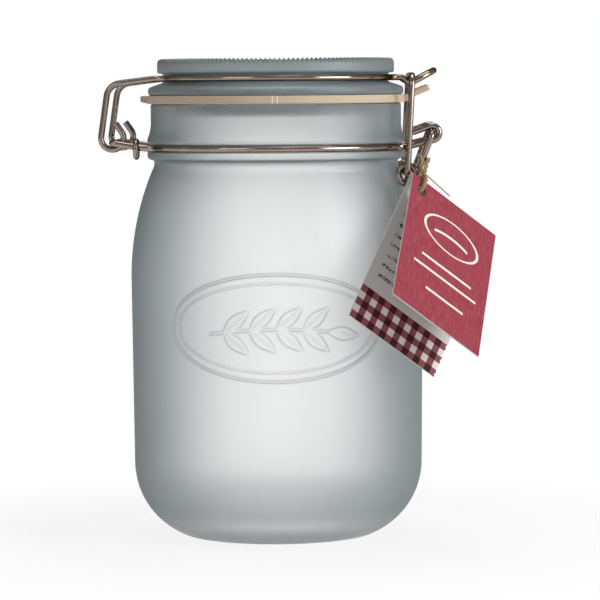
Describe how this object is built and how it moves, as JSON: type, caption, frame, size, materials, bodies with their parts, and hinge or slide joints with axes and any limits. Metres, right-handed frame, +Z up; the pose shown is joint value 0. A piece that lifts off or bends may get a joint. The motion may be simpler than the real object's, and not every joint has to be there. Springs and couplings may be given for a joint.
{
  "type": "clip-top preserving jar",
  "caption": "Frosted glass storage jar with a knurled glass lid, rubber gasket, sprung wire hinge and over-centre latch, and a folded swing tag on twine.",
  "frame": {"origin": "on the jar's axis, at the surface that it stands on", "axes": "+Z up along the jar's axis, +X towards the latch, -X towards the hinge, -Y towards the side that the tag hangs on"},
  "size_m": [0.1451, 0.1261, 0.1748],
  "materials": {
    "frosted_glass": "frosted",
    "lid_glass": "frosted",
    "rubber": "matt",
    "wire": "bright drawn",
    "card": "matt print",
    "jute": "twisted"
  },
  "bodies": {
    "jar": {"jar": "frosted_glass", "neck_wire": "wire", "collar": "wire", "swing_tag": "card", "twine": "jute"},
    "lid": {"lid": "lid_glass", "gasket": "rubber", "lid_bail": "wire"},
    "lever": {"lever": "wire"},
    "link": {"link": "wire"}
  },
  "joints": [
    {"name": "lid_hinge", "type": "hinge", "parent": "jar", "child": "lid", "pos_m": [-0.05852, 0.00307, 0.1444], "axis": [-0.0523, -0.9986, 0], "range_deg": [0, 105]},
    {"name": "lever_swing", "type": "hinge", "parent": "jar", "child": "lever", "pos_m": [0.0568, 0, 0.1473], "axis": [0, -1, 0], "range_deg": [0, 150], "deforming": ["twine"]},
    {"name": "link_swing", "type": "hinge", "parent": "lever", "child": "link", "pos_m": [0.0476, 0, 0.1323], "axis": [0, -1, 0], "range_deg": [-320, 0]}
  ],
  "couplings": [
    {"joint": "link_swing", "follows": "lever_swing", "ratio": -2.1333}
  ]
}
